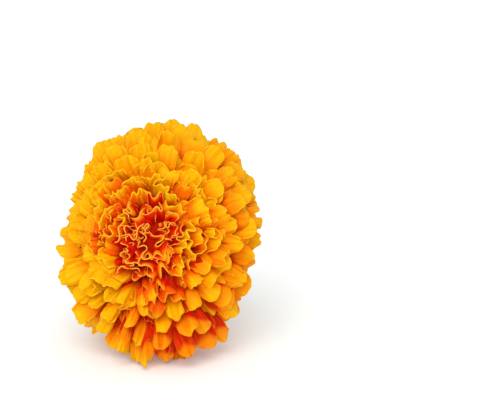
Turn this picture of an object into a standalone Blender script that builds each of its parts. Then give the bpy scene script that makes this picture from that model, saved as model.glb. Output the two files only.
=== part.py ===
# A double African marigold, picked with a short stub of stalk and lying on its side.
# Metres, +Z up. The flower looks toward -Y and a little up and to its left (-X).
# The origin is the middle of the bottom of its box, on the surface that it lies on.
#
# The head is worked out in its own frame: x to the right, y up along the face, z out of the face
# along the axis of the flower. HEAD turns that into the frame of the world. theta is an angle
# from the face of the flower, phi an angle round its axis.

import math
import random

import bmesh
import bpy
from mathutils import Matrix, Vector

MM = 0.001
AXIS = Vector((0, 0, 1))
GOLDEN_ANGLE = math.pi * (3 - math.sqrt(5))

# How the head lies
FACE_LOOKS_UP = math.radians(20)
FACE_LOOKS_LEFT = math.radians(8)
HEAD_CENTRE = Vector((0.0, -5.2, 35.6)) * MM

# The cloud of petal tips: half sizes, how far its long side leans to the right, how square its
# outline is (2 is an ellipse), how flat its face is (1 is an ellipse, less is flatter)
HALF_WIDTH = 31.3 * MM
HALF_HEIGHT = 41.3 * MM
OUTLINE_LEAN = math.radians(13)
FRONT_DEPTH = 24.0 * MM
BACK_DEPTH = 30.0 * MM
SQUARENESS = 2.25
FACE_FLATNESS = 0.85

# Where the spirals of tips begin and end, and how far the tips lie apart
FIRST_FLORET_ANGLE = math.radians(2)
LAST_FLORET_ANGLE = math.radians(22.5)
FIRST_PETAL_ANGLE = math.radians(21.5)
LAST_PETAL_ANGLE = math.radians(127)
SPIRAL_STEP = math.radians(0.05)
FLORET_SPACING = 4.0 * MM
INNER_SPACING = 5.0 * MM
OUTER_SPACING = 7.3 * MM
OUTER_SPACING_AFTER = math.radians(45)
BACK_SPACING = 9.4 * MM
BACK_SPACING_FROM = math.radians(95)
BACK_SPACING_AFTER = math.radians(18)

# The receptacle, where every floret starts, and how the curve of a floret leaves it
RECEPTACLE_RADIUS = 6.2 * MM
RECEPTACLE_DEPTH = 10.0 * MM
RECEPTACLE_DOME = 2.0 * MM
LAST_START_ANGLE = math.radians(62)
ROOT_PULL = 0.42
TIP_PULL = 0.36

# The cone that parts the centre florets from the petals round them
CONE_RADIUS = 6.0 * MM
CONE_SLOPE = 0.39
CONE_LENGTH = 30.0 * MM
CONE_SIDES = 24
CENTRE_CLEARANCE = 0.25 * MM
PETAL_CLEARANCE = 0.6 * MM
SEAT_GAP = 0.3 * MM

# A blade: its thickness, where it is widest and how its edge rounds, and its faces across
BLADE = 0.7 * MM
WIDEST_AT = 0.8
EDGE_ROUNDNESS = 2.4
BLADE_COLUMNS = 4
BLADE_ROWS = 2
BACK_BLADE_ROWS = 3
BACK_WHORLS = math.radians(104)

# How softly the lowest petals press flat on the surface, how far they slide along it as they
# do, and how much of them it shaves off
PRESS_SOFTNESS = 0.8 * MM
PRESS_SLIDE = 0.8
SHAVED = 0.25 * MM

# Seeds of the random draws
PETAL_SEED = 10
FLORET_SEED = 9

# The packed mass inside: as a share of the cloud of tips, and before and behind its middle
CORE_SHARE = 0.745
CORE_FRONT = 15.5 * MM
CORE_BACK = 7.0 * MM
ROOT_DEPTH = 2.6 * MM
PIT_FLOOR = 4.0 * MM
PLUG_TOP = CORE_FRONT + 0.5 * MM
PLUG_SHOULDER = 2.0 * MM
FLORET_START = 0.55

# The neck of the head, which sits in the cup
NECK_RADIUS = 7.4 * MM
NECK_START = -4.0 * MM
NECK_END = -18.0 * MM
NECK_SIDES = 24

# The green cup and the cut stalk
CUP_RIM = -13.8 * MM
CUP_DISH = NECK_END - SEAT_GAP
CUP_INNER_RADIUS = NECK_RADIUS + SEAT_GAP
CUP_TEETH = 9
TOOTH_LENGTH = 3.6 * MM
CUP_SIDES = 4 * CUP_TEETH
RIB_HEIGHT = 0.25 * MM
RIBBED_OUTSIDE = 8.0 * MM
CUP_PROFILE = (
    # distance from the axis, and how far behind the rim
    (8.8 * MM, 0.0),
    (9.2 * MM, 3.5 * MM),
    (9.1 * MM, 7.5 * MM),
    (8.2 * MM, 11.5 * MM),
    (6.3 * MM, 15.0 * MM),
    (4.4 * MM, 17.0 * MM),
    (3.3 * MM, 19.5 * MM),
    (2.6 * MM, 22.5 * MM),
    (2.5 * MM, 25.5 * MM),
)

NEARLY_NOTHING = 0.001 * MM


def head_matrix():
    """The frame of the head: its columns are right, up along the face, and out of the face."""
    flat = math.cos(FACE_LOOKS_UP)
    out = Vector(
        (
            -math.sin(FACE_LOOKS_LEFT) * flat,
            -math.cos(FACE_LOOKS_LEFT) * flat,
            math.sin(FACE_LOOKS_UP),
        )
    )
    up = (AXIS - out * out.z).normalized()
    turned = Matrix((up.cross(out), up, out)).transposed().to_4x4()
    return Matrix.Translation(HEAD_CENTRE) @ turned


HEAD = head_matrix()


def mix(low, high, share):
    return low + (high - low) * share


def smooth(share):
    """Goes from 0 to 1 with a soft start and a soft end."""
    share = min(1.0, max(0.0, share))
    return share * share * (3 - 2 * share)


def toward(theta, phi):
    """The direction in the head's frame at theta from the face and phi round the axis."""
    return Vector((math.sin(theta) * math.cos(phi), math.sin(theta) * math.sin(phi), math.cos(theta)))


def outline_radius(phi):
    """How far the widest tips stand from the axis, at the angle phi round it."""
    turned_phi = phi + OUTLINE_LEAN
    side = abs(math.cos(turned_phi) / HALF_WIDTH) ** SQUARENESS
    up = abs(math.sin(turned_phi) / HALF_HEIGHT) ** SQUARENESS
    return (side + up) ** (-1 / SQUARENESS)


def tip_place(theta, phi):
    """Where a full-length tip stands in the cloud of tips."""
    depth = FRONT_DEPTH if math.cos(theta) > 0 else BACK_DEPTH
    along = math.copysign(abs(math.cos(theta)) ** FACE_FLATNESS, math.cos(theta))
    return toward(math.pi / 2, phi) * outline_radius(phi) * math.sin(theta) + AXIS * depth * along


def spaced_angles(first, last, spacing):
    """Angles theta of a spiral of tips that lie spacing(theta) apart on the cloud."""
    angles = []
    radius = (HALF_WIDTH + HALF_HEIGHT) / 2
    theta = first
    due = 0.5
    while theta < last:
        depth = FRONT_DEPTH if theta < math.pi / 2 else BACK_DEPTH
        run = math.hypot(radius * math.cos(theta), depth * math.sin(theta)) * SPIRAL_STEP
        due += 2 * math.pi * radius * math.sin(theta) * run / spacing(theta) ** 2
        if due >= 1:
            angles.append(theta)
            due -= 1
        theta += SPIRAL_STEP
    return angles


def petal_spacing(theta):
    outer = smooth((theta - FIRST_PETAL_ANGLE) / OUTER_SPACING_AFTER)
    back = smooth((theta - BACK_SPACING_FROM) / BACK_SPACING_AFTER)
    return mix(mix(INNER_SPACING, OUTER_SPACING, outer), BACK_SPACING, back)


def floret_spacing(theta):
    return FLORET_SPACING


def bezier(points, t):
    a, b, c, d = points
    s = 1 - t
    return a * s**3 + b * 3 * s * s * t + c * 3 * s * t * t + d * t**3


def bezier_slope(points, t):
    a, b, c, d = points
    s = 1 - t
    return (b - a) * 3 * s * s + (c - b) * 6 * s * t + (d - c) * 3 * t * t


def spine_of(theta, rule):
    """The curve that a floret's middle follows, from the receptacle to its tip."""
    phi = rule["phi"]
    share = min(1.0, theta / LAST_PETAL_ANGLE)
    tip = tip_place(theta, phi) * rule["reach"]
    root = toward(math.pi / 2, phi) * RECEPTACLE_RADIUS * share**0.8
    root -= AXIS * (RECEPTACLE_DEPTH - RECEPTACLE_DOME * (1 - share))
    length = (tip - root).length
    first = root + toward(LAST_START_ANGLE * share, phi) * length * ROOT_PULL
    last = tip - toward(theta + rule["lean"], phi) * length * TIP_PULL
    return (root, first, last, tip)


def kept_off_cone(point, inside):
    """Moves a point of the head's frame to its own side of the cone between centre and petals."""
    radius = math.hypot(point.x, point.y)
    wall = CONE_RADIUS + CONE_SLOPE * max(0.0, point.z - PIT_FLOOR)
    if inside:
        limit = wall - CENTRE_CLEARANCE - BLADE / 2
        share = limit / radius if radius > limit else 1.0
    else:
        limit = wall + PETAL_CLEARANCE + BLADE / 2
        share = limit / radius if NEARLY_NOTHING < radius < limit else 1.0
    return Vector((point.x * share, point.y * share, point.z))


def floor_bend(point, heading):
    """Keeps a blade's middle above the surface: what would go below it is bent to lie along it."""
    lowest = BLADE / 2 - SHAVED
    height = point.z - lowest
    if height > 8 * PRESS_SOFTNESS:
        return point
    pressed = PRESS_SOFTNESS * math.log1p(math.exp(height / PRESS_SOFTNESS))
    level = Vector((heading.x, heading.y, 0))
    if level.length > NEARLY_NOTHING:
        level.normalize()
    moved = point + level * (pressed - height) * PRESS_SLIDE
    moved.z = lowest + pressed
    return moved


def blade_point(rule, u, v):
    """A point of a floret's middle surface: u runs across from -1 to 1, v from its root to its tip."""
    rounding = rule["rounding"] * abs(u) ** EDGE_ROUNDNESS
    lobes = rule["lobes"] * math.cos(rule["lobe_count"] * math.pi * u + rule["phase"])
    t = mix(rule["start"], 1.0, v * (1 - v**3 * (rounding - lobes)))
    heading = bezier_slope(rule["spine"], t).normalized()
    phi = rule["phi"]
    side = Vector((-math.sin(phi), math.cos(phi), 0))
    twist = rule["twist"] * v
    across = side * math.cos(twist) + heading.cross(side).normalized() * math.sin(twist)
    face = heading.cross(across)
    width = rule["half_width"] * mix(rule["claw"], 1.0, smooth(v / WIDEST_AT))
    wave = rule["wave"] * v * v * math.sin(rule["wave_count"] * math.pi * u + rule["phase"])
    cup = rule["cup"] * u * u * width
    point = bezier(rule["spine"], t) + across * u * width + face * (wave + cup)
    point += side * rule["drift"] * v * v
    return floor_bend(HEAD @ kept_off_cone(point, rule["inside"]), HEAD.to_3x3() @ heading)


def blade_object(name, rule, rows, collection):
    """One floret as a grid moved into place, closed by Solidify.

    Its root row meets in one point and its middle rows in two, so that it has few triangles.
    """
    work = bmesh.new()
    bmesh.ops.create_grid(work, x_segments=BLADE_COLUMNS, y_segments=rows, size=1)
    for vertex in work.verts:
        u = vertex.co.x
        v = (vertex.co.y + 1) / 2
        if v < 0.5 / rows:
            u = 0.0
        elif v < 1 - 0.5 / rows:
            u = -1.0 if u < 0 else 1.0
        vertex.co = blade_point(rule, u, v)
    bmesh.ops.remove_doubles(work, verts=work.verts, dist=0.01 * MM)
    bmesh.ops.triangulate(work, faces=work.faces)
    blade = mesh_object(name, work, collection)
    thick = blade.modifiers.new("thickness", "SOLIDIFY")
    thick.thickness = BLADE
    thick.offset = 0
    return blade


def petal_rule(index, theta, chance):
    """Size, lean and waves of one outer petal, from where its tip lies."""
    share = theta / LAST_PETAL_ANGLE
    inner = 1 - smooth((theta - FIRST_PETAL_ANGLE) / math.radians(22))
    return {
        "phi": index * GOLDEN_ANGLE + chance.uniform(-0.06, 0.06),
        "half_width": mix(3.3, 4.3, smooth(share * 1.6)) * MM * chance.uniform(0.88, 1.12),
        "claw": 0.45,
        "rounding": chance.uniform(0.12, 0.24),
        "lobes": chance.uniform(0.02, 0.07),
        "lobe_count": chance.choice((2, 2, 4)),
        "phase": chance.uniform(-0.5, 0.5) + chance.choice((0, math.pi)),
        "wave": (chance.uniform(0.25, 0.6) + 0.35 * inner) * MM,
        "wave_count": chance.uniform(1.6, 2.4),
        "cup": chance.uniform(-0.03, 0.10),
        "twist": math.radians(chance.uniform(-9, 9) * (1 + 1.6 * inner)),
        "drift": chance.uniform(-0.6, 0.6) * MM,
        "lean": math.radians(mix(20, 38, smooth(share * 1.5)) + chance.uniform(-6, 6)),
        "reach": chance.uniform(0.955 - 0.07 * inner, 1.02),
        "inside": False,
    }


def floret_rule(index, theta, chance):
    """Size, lean and waves of one floret of the centre."""
    share = theta / FIRST_PETAL_ANGLE
    return {
        "phi": index * GOLDEN_ANGLE + chance.uniform(-0.3, 0.3),
        "half_width": mix(2.9, 2.2, share) * MM * chance.uniform(0.9, 1.1),
        "claw": 0.4,
        "rounding": chance.uniform(0.05, 0.2),
        "lobes": chance.uniform(0.03, 0.1),
        "lobe_count": chance.choice((2, 3)),
        "phase": chance.uniform(0, 2 * math.pi),
        "wave": chance.uniform(0.6, 1.1) * MM,
        "wave_count": chance.uniform(1.8, 2.6),
        "cup": chance.uniform(-0.2, 0.3),
        "twist": math.radians(chance.uniform(-40, 40)),
        "drift": chance.uniform(-0.8, 0.8) * MM,
        "lean": math.radians(chance.uniform(-4, 8) + 14 * share),
        "reach": chance.uniform(0.92, 1.0),
        "inside": True,
    }


def core_start(spine):
    """Where along its curve a petal's blade starts: a root's depth below the skin of the core."""
    steps = 60
    for step in range(steps, -1, -1):
        point = bezier(spine, step / steps)
        radius = outline_radius(math.atan2(point.y, point.x)) * CORE_SHARE - ROOT_DEPTH
        depth = (CORE_FRONT if point.z > 0 else CORE_BACK) - ROOT_DEPTH
        if (math.hypot(point.x, point.y) / radius) ** 2 + (point.z / depth) ** 2 < 1:
            return step / steps
    return 0.0


def new_collection(name, parent):
    collection = bpy.data.collections.new(name)
    parent.children.link(collection)
    return collection


def removed(collection):
    """Takes a collection away with all that it holds."""
    for thing in list(collection.objects):
        mesh = thing.data
        bpy.data.objects.remove(thing)
        bpy.data.meshes.remove(mesh)
    bpy.data.collections.remove(collection)


def mesh_object(name, work, collection):
    mesh = bpy.data.meshes.new(name)
    work.to_mesh(mesh)
    work.free()
    thing = bpy.data.objects.new(name, mesh)
    collection.objects.link(thing)
    return thing


def applied(thing):
    """Keeps the mesh of an object as its modifiers leave it."""
    depsgraph = bpy.context.evaluated_depsgraph_get()
    mesh = bpy.data.meshes.new_from_object(thing.evaluated_get(depsgraph))
    thing.modifiers.clear()
    old = thing.data
    thing.data = mesh
    bpy.data.meshes.remove(old)


def joined(thing, blades):
    """Fuses a collection of closed solids to a solid."""
    step = thing.modifiers.new("join", "BOOLEAN")
    step.operation = "UNION"
    step.solver = "MANIFOLD"
    step.operand_type = "COLLECTION"
    step.collection = blades
    applied(thing)
    removed(blades)


def cut(thing, cutter):
    """Takes the room of a cutter out of a solid."""
    step = thing.modifiers.new("cut", "BOOLEAN")
    step.operation = "DIFFERENCE"
    step.solver = "MANIFOLD"
    step.object = cutter
    applied(thing)


def shells_of(work):
    """The faces of a mesh, in groups that hang together over edges of just two faces."""
    seen = set()
    shells = []
    for face in work.faces:
        if face in seen:
            continue
        seen.add(face)
        shell = [face]
        for current in shell:
            for edge in current.edges:
                if len(edge.link_faces) > 2:
                    continue
                for near in edge.link_faces:
                    if near not in seen:
                        seen.add(near)
                        shell.append(near)
        shells.append(shell)
    return sorted(shells, key=len, reverse=True)


def main_shell(thing):
    """Drops loose scraps, and fills the hollows that the joining sealed: one shell is kept."""
    work = bmesh.new()
    work.from_mesh(thing.data)
    bmesh.ops.triangulate(work, faces=work.faces)
    scraps = [face for shell in shells_of(work)[1:] for face in shell]
    bmesh.ops.delete(work, geom=scraps, context="FACES")
    work.to_mesh(thing.data)
    work.free()


def cone(name, front_radius, back_radius, front, back, sides, collection):
    """A closed cone or cylinder round the axis of the head, between two places along it."""
    work = bmesh.new()
    bmesh.ops.create_cone(
        work,
        cap_ends=True,
        segments=sides,
        radius1=back_radius,
        radius2=front_radius,
        depth=front - back,
        matrix=Matrix.Translation(AXIS * (front + back) / 2),
    )
    thing = mesh_object(name, work, collection)
    thing.matrix_world = HEAD
    return thing


def turned(name, profile, sides, collection):
    """A closed solid turned from (radius, place) pairs that run from the axis round to the axis."""
    work = bmesh.new()
    points = [work.verts.new((radius, 0, place)) for radius, place in profile]
    for before, after in zip(points, points[1:]):
        work.edges.new((before, after))
    thing = mesh_object(name, work, collection)
    screw = thing.modifiers.new("turned", "SCREW")
    screw.axis = "Z"
    screw.angle = 2 * math.pi
    screw.steps = sides
    screw.render_steps = sides
    screw.use_merge_vertices = True
    screw.merge_threshold = NEARLY_NOTHING
    applied(thing)
    thing.matrix_world = HEAD
    return thing


def painted(thing, name, colour, roughness):
    paint = bpy.data.materials.new(name)
    paint.use_nodes = True
    shader = paint.node_tree.nodes["Principled BSDF"]
    shader.inputs["Base Color"].default_value = (*colour, 1)
    shader.inputs["Roughness"].default_value = roughness
    shader.inputs["Metallic"].default_value = 0.0
    thing.data.name = thing.name
    thing.data.materials.clear()
    thing.data.materials.append(paint)


def core_solid(collection):
    """The packed mass of claws inside the head: a sphere drawn out to a share of the cloud."""
    work = bmesh.new()
    bmesh.ops.create_icosphere(work, subdivisions=2, radius=1)
    for vertex in work.verts:
        x, y, z = vertex.co
        phi = math.atan2(y, x)
        out = toward(math.pi / 2, phi) * outline_radius(phi) * CORE_SHARE * math.hypot(x, y)
        vertex.co = out + AXIS * z * (CORE_FRONT if z > 0 else CORE_BACK)
    core = mesh_object("outer_petals", work, collection)
    core.matrix_world = HEAD
    return core


def outer_petals(parts, cutters):
    """All the petals round the centre, on their core, with a pit in front and a neck behind."""
    core = core_solid(parts)
    blades = new_collection("petal_blades", parts)
    cone("neck", NECK_RADIUS, NECK_RADIUS, NECK_START, NECK_END, NECK_SIDES, blades)
    chance = random.Random(PETAL_SEED)
    angles = spaced_angles(FIRST_PETAL_ANGLE, LAST_PETAL_ANGLE, petal_spacing)
    for index, theta in enumerate(angles):
        rule = petal_rule(index, theta, chance)
        rule["spine"] = spine_of(theta, rule)
        rule["start"] = core_start(rule["spine"])
        rows = BLADE_ROWS if theta < BACK_WHORLS else BACK_BLADE_ROWS
        blade_object(f"petal_{index}", rule, rows, blades)
    joined(core, blades)
    wall = CONE_RADIUS + SEAT_GAP
    mouth = wall + CONE_SLOPE * CONE_LENGTH
    cut(core, cone("pit", mouth, wall, PIT_FLOOR + CONE_LENGTH, PIT_FLOOR, CONE_SIDES, cutters))
    cut(core, floor_block(cutters))
    main_shell(core)
    return core


def floor_block(cutters):
    """The room below the surface, which shaves the lowest petals to the flats that they rest on."""
    side = 3 * HALF_HEIGHT
    work = bmesh.new()
    bmesh.ops.create_cube(work, size=side, matrix=Matrix.Translation(AXIS * -side / 2))
    return mesh_object("floor", work, cutters)


def centre_florets(parts):
    """The short ruffled florets in the pit, on a plug that leaves a small gap round it."""
    wide = CONE_RADIUS + CONE_SLOPE * (PLUG_TOP - PIT_FLOOR)
    floor = PIT_FLOOR + SEAT_GAP
    profile = (
        (0.0, PLUG_TOP),
        (wide * 0.4, PLUG_TOP),
        (wide * 0.93, PLUG_TOP - PLUG_SHOULDER),
        (CONE_RADIUS, floor),
        (0.0, floor),
    )
    plug = turned("centre_florets", profile, CONE_SIDES, parts)
    blades = new_collection("floret_blades", parts)
    chance = random.Random(FLORET_SEED)
    angles = spaced_angles(FIRST_FLORET_ANGLE, LAST_FLORET_ANGLE, floret_spacing)
    for index, theta in enumerate(angles):
        rule = floret_rule(index, theta, chance)
        rule["spine"] = spine_of(theta, rule)
        rule["start"] = FLORET_START
        blade_object(f"floret_{index}", rule, BLADE_ROWS, blades)
    joined(plug, blades)
    main_shell(plug)
    return plug


def involucre(parts):
    """The cup of fused bracts with its teeth and ribs, and the stub of stalk."""
    profile = [(0.0, CUP_DISH), (CUP_INNER_RADIUS, CUP_DISH), (CUP_INNER_RADIUS, CUP_RIM)]
    profile += [(radius, CUP_RIM - behind) for radius, behind in CUP_PROFILE]
    profile.append((0.0, profile[-1][1]))
    cup = turned("involucre_and_stalk", profile, CUP_SIDES, parts)
    for vertex in cup.data.vertices:
        angle = math.atan2(vertex.co.y, vertex.co.x)
        ridge = math.cos(CUP_TEETH * angle)
        if math.hypot(vertex.co.x, vertex.co.y) > RIBBED_OUTSIDE:
            rib = RIB_HEIGHT * ridge / 2
            vertex.co += toward(math.pi / 2, angle) * rib
        if abs(vertex.co.z - CUP_RIM) < NEARLY_NOTHING:
            vertex.co.z += TOOTH_LENGTH * (1 + ridge) / 2
    return cup


def main():
    for thing in list(bpy.data.objects):
        bpy.data.objects.remove(thing)
    scene = bpy.context.scene.collection
    parts = new_collection("marigold_flower", scene)
    cutters = new_collection("cutters", scene)
    painted(outer_petals(parts, cutters), "petal_orange", (0.94, 0.36, 0.01), 0.55)
    painted(centre_florets(parts), "centre_red_orange", (0.82, 0.13, 0.0), 0.55)
    painted(involucre(parts), "involucre_green", (0.16, 0.26, 0.05), 0.6)
    removed(cutters)


main()
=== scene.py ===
import math
import random
import bmesh
import bpy
import numpy as np
from mathutils import Matrix, Vector


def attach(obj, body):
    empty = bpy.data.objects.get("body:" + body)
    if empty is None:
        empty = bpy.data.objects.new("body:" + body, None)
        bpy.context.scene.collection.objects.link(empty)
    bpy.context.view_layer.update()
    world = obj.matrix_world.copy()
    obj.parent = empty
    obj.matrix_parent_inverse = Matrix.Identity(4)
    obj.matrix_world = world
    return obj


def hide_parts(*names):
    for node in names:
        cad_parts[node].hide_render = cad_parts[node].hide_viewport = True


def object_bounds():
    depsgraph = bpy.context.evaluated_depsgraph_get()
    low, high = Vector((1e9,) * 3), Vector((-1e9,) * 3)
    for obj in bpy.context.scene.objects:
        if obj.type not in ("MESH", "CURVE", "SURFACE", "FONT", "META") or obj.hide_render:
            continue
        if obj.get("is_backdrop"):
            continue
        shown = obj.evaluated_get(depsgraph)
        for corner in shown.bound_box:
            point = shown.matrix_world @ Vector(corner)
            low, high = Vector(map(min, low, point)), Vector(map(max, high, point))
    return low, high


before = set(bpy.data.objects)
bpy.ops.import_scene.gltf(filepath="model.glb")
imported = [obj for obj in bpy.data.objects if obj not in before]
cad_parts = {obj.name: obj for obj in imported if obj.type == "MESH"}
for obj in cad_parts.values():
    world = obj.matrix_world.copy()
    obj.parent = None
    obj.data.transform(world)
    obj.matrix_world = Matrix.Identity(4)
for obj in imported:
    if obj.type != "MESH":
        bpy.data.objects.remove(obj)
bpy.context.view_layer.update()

mm = 0.001
degree = math.pi / 180
scene = bpy.context.scene
goldenAngle = math.pi * (3 - math.sqrt(5))

# The head has its own frame: x right, y up along the face, z out of the face.
# theta is an angle from the face of the flower, phi an angle round its axis.
head = {
    "looksUp": 20 * degree,
    "looksLeft": 8 * degree,
    "centre": Vector((0.0, -5.2, 35.6)) * mm,
    "halfWidth": 31.3 * mm,  # the cloud of petal tips
    "halfHeight": 41.3 * mm,
    "lean": 13 * degree,  # its long side leans to the right
    "squareness": 2.25,  # 2 is an ellipse
    "frontDepth": 24.0 * mm,
    "backDepth": 30.0 * mm,
    "flatness": 0.85,
    "rootRadius": 6.2 * mm,  # the receptacle, where every floret starts
    "rootDepth": 10.0 * mm,
    "rootDome": 2.0 * mm,
    "rootAngle": 62 * degree,
    "rootPull": 0.42,
    "tipPull": 0.36,
    "lastAngle": 127 * degree,
    "coreShare": 0.745,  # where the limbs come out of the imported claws
    "coreFront": 15.5 * mm,
    "coreBack": 7.0 * mm,
    "rootSunk": 2.6 * mm,
    "floor": 0.17 * mm,  # the lowest that the middle of a petal lies
    "pressSoftness": 0.8 * mm,
    "pressFrom": 8,  # times the softness: what lies higher isn't bent
    "pressSlide": 0.8,
}


def headMatrix():
    flat = math.cos(head["looksUp"])
    out = Vector((-math.sin(head["looksLeft"]) * flat,
                  -math.cos(head["looksLeft"]) * flat,
                  math.sin(head["looksUp"])))
    up = (Vector((0, 0, 1)) - out * out.z).normalized()
    turned = Matrix((up.cross(out), up, out)).transposed().to_4x4()
    return Matrix.Translation(head["centre"]) @ turned


headPlace = np.array(headMatrix())
headTurn = headPlace[:3, :3]


def mix(low, high, share):
    return low + (high - low) * share


def smooth(share):
    share = np.clip(share, 0.0, 1.0)
    return share * share * (3 - 2 * share)


def toward(theta, phi):
    flat = math.sin(theta)
    return np.array((flat * math.cos(phi), flat * math.sin(phi), math.cos(theta)))


def unit(vectors):
    return vectors / np.maximum(np.linalg.norm(vectors, axis=-1, keepdims=True), 1e-12)


def outlineRadius(phi):
    side = np.abs(np.cos(phi + head["lean"]) / head["halfWidth"]) ** head["squareness"]
    up = np.abs(np.sin(phi + head["lean"]) / head["halfHeight"]) ** head["squareness"]
    return (side + up) ** (-1 / head["squareness"])


def tipPlace(theta, phi):
    depth = head["frontDepth"] if math.cos(theta) > 0 else head["backDepth"]
    along = math.copysign(abs(math.cos(theta)) ** head["flatness"], math.cos(theta))
    flat = toward(math.pi / 2, phi) * outlineRadius(phi) * math.sin(theta)
    return flat + np.array((0, 0, depth * along))


def spiralAngles(first, last, spacing):  # one petal wherever the area for it is full
    step = 0.05 * degree
    radius = (head["halfWidth"] + head["halfHeight"]) / 2
    angles = []
    theta = first
    due = 0.5
    while theta < last:
        depth = head["frontDepth"] if theta < math.pi / 2 else head["backDepth"]
        run = math.hypot(radius * math.cos(theta), depth * math.sin(theta)) * step
        due += math.tau * radius * math.sin(theta) * run / spacing(theta) ** 2
        if due >= 1:
            angles.append(theta)
            due -= 1
        theta += step
    return angles


def petalSpine(theta, rule):
    phi = rule["phi"]
    share = min(1.0, theta / head["lastAngle"])
    tip = tipPlace(theta, phi) * rule["reach"]
    root = toward(math.pi / 2, phi) * head["rootRadius"] * share ** 0.8
    root[2] -= head["rootDepth"] - head["rootDome"] * (1 - share)
    length = np.linalg.norm(tip - root)
    first = root + toward(head["rootAngle"] * share, phi) * length * head["rootPull"]
    last = tip - toward(theta + rule["lean"], phi) * length * head["tipPull"]
    return root, first, last, tip


def bezier(points, t):
    a, b, c, d = points
    s = 1 - t
    place = a * s ** 3 + b * 3 * s * s * t + c * 3 * s * t * t + d * t ** 3
    slope = (b - a) * 3 * s * s + (c - b) * 6 * s * t + (d - c) * 3 * t * t
    return place, unit(slope)


def limbStart(spine):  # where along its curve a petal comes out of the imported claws
    steps = 60
    for step in range(steps, -1, -1):
        point, slope = bezier(spine, step / steps)
        radius = outlineRadius(math.atan2(point[1], point[0])) * head["coreShare"] - head["rootSunk"]
        depth = (head["coreFront"] if point[2] > 0 else head["coreBack"]) - head["rootSunk"]
        if (math.hypot(point[0], point[1]) / radius) ** 2 + (point[2] / depth) ** 2 < 1:
            return step / steps
    return 0.0


def pressedOnFloor(points, headings):
    soft = head["pressSoftness"]
    bendsBelow = head["pressFrom"] * soft
    height = points[..., 2] - head["floor"]
    bent = soft * np.log1p(np.exp(np.minimum(height, bendsBelow) / soft))
    pressed = np.where(height < bendsBelow, bent, height)
    level = headings.copy()
    level[..., 2] = 0
    points = points + unit(level) * (pressed - height)[..., None] * head["pressSlide"]
    points[..., 2] = head["floor"] + pressed
    return points


# What all florets have in common. The limb runs from 0, where it starts, to 1, its tip.
form = {
    "crowding": 1.25,  # the rows lie closer together toward the tip
    "notchWidth": 0.22,
    "fullWidthAt": 0.75,
    "taperFrom": 0.5,
    "smallFold": 0.5,  # each fold carries smaller ones
    "smallFoldCount": 1.55,
    "smallFoldPhase": 2.3,
    "mostStretch": 1.7,
    "pleatGrowth": 1.5,
    "rollWave": 2.1,
    "leastRoll": 0.05,
}


def foldedLine(rule, u, v):
    # The margin is longer than the claw, so it folds: each row is a line whose
    # direction swings from side to side, more the nearer it is to the tip.
    middle = (u[:, 1:] + u[:, :-1]) / 2
    swing = np.sin(rule["foldCount"] * math.pi * middle + rule["foldPhase"])
    swing = swing + form["smallFold"] * np.sin(
        rule["foldCount"] * form["smallFoldCount"] * math.pi * middle
        + rule["foldPhase"] * form["smallFoldPhase"])
    angle = rule["fold"] * v ** rule["foldRise"] * swing
    start = np.zeros_like(v)
    run = np.concatenate((start, np.cumsum(np.cos(angle) * np.diff(u), axis=1)), axis=1)
    rise = np.concatenate((start, np.cumsum(np.sin(angle) * np.diff(u), axis=1)), axis=1)
    stretch = np.minimum(2 / run[:, -1:], form["mostStretch"])
    return (run - run[:, -1:] / 2) * stretch, (rise - rise.mean(axis=1, keepdims=True)) * stretch


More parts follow.
